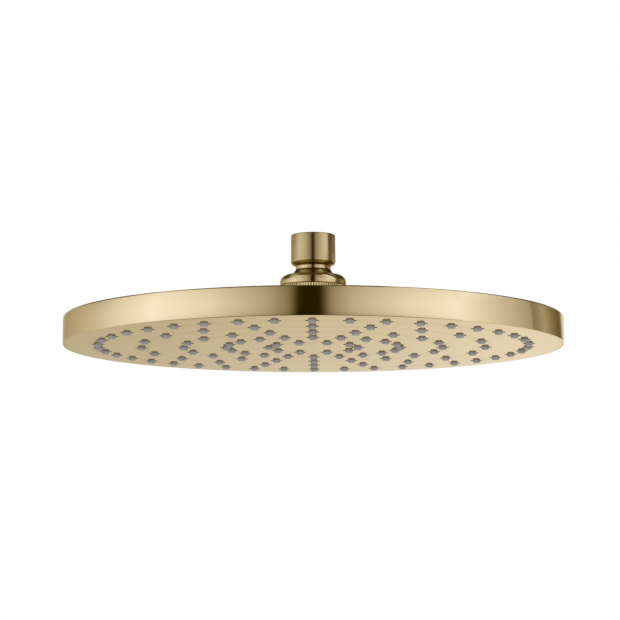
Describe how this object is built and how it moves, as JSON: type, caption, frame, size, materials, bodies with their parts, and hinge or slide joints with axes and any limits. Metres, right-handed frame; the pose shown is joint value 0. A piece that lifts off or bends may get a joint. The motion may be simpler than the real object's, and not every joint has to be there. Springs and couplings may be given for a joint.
{
  "type": "shower head",
  "caption": "Round overhead rain shower head in brushed gold metal, with rings of silicone nozzles, a ball joint under a knurled nut and a threaded inlet.",
  "frame": {"origin": "middle of the inlet's mouth, at the top of the collar", "axes": "+Z along the inlet's axis, up and out of the mouth; the nozzles point along -Z; the first nozzle of each ring is on +X"},
  "size_m": [0.3, 0.3, 0.0702],
  "materials": {
    "brushed_gold": "brushed, gold-coloured coating on brass",
    "plain_brass": "turned",
    "grey_silicone": "matt, moulded",
    "seal_rubber": "matt",
    "white_plastic": "moulded",
    "screen_steel": "woven wire"
  },
  "bodies": {
    "connector": {"ball_connector": "brushed_gold", "inlet_washer": "seal_rubber", "filter_screen": "screen_steel", "flow_restrictor": "white_plastic"},
    "friction_ring": {"friction_ring": "white_plastic"},
    "ball_seal": {"ball_seal": "seal_rubber"},
    "head": {"retaining_nut": "brushed_gold", "hub": "brushed_gold", "hub_gasket": "seal_rubber", "hub_lock_nut": "plain_brass", "back_shell": "brushed_gold", "face_plate": "brushed_gold", "nozzle_mat": "grey_silicone", "clamp_ring": "white_plastic", "perimeter_seal": "seal_rubber"}
  },
  "joints": [
    {"name": "tilt_front", "type": "hinge", "parent": "connector", "child": "friction_ring", "pos_m": [0, 0, -0.0297], "axis": [1, 0, 0], "range_deg": [-10, 10]},
    {"name": "tilt_side", "type": "hinge", "parent": "friction_ring", "child": "ball_seal", "pos_m": [0, 0, -0.0297], "axis": [0, 1, 0], "range_deg": [-10, 10]},
    {"name": "turn", "type": "hinge", "parent": "ball_seal", "child": "head", "pos_m": [0, 0, -0.0297], "axis": [0, 0, 1], "continuous": true}
  ]
}
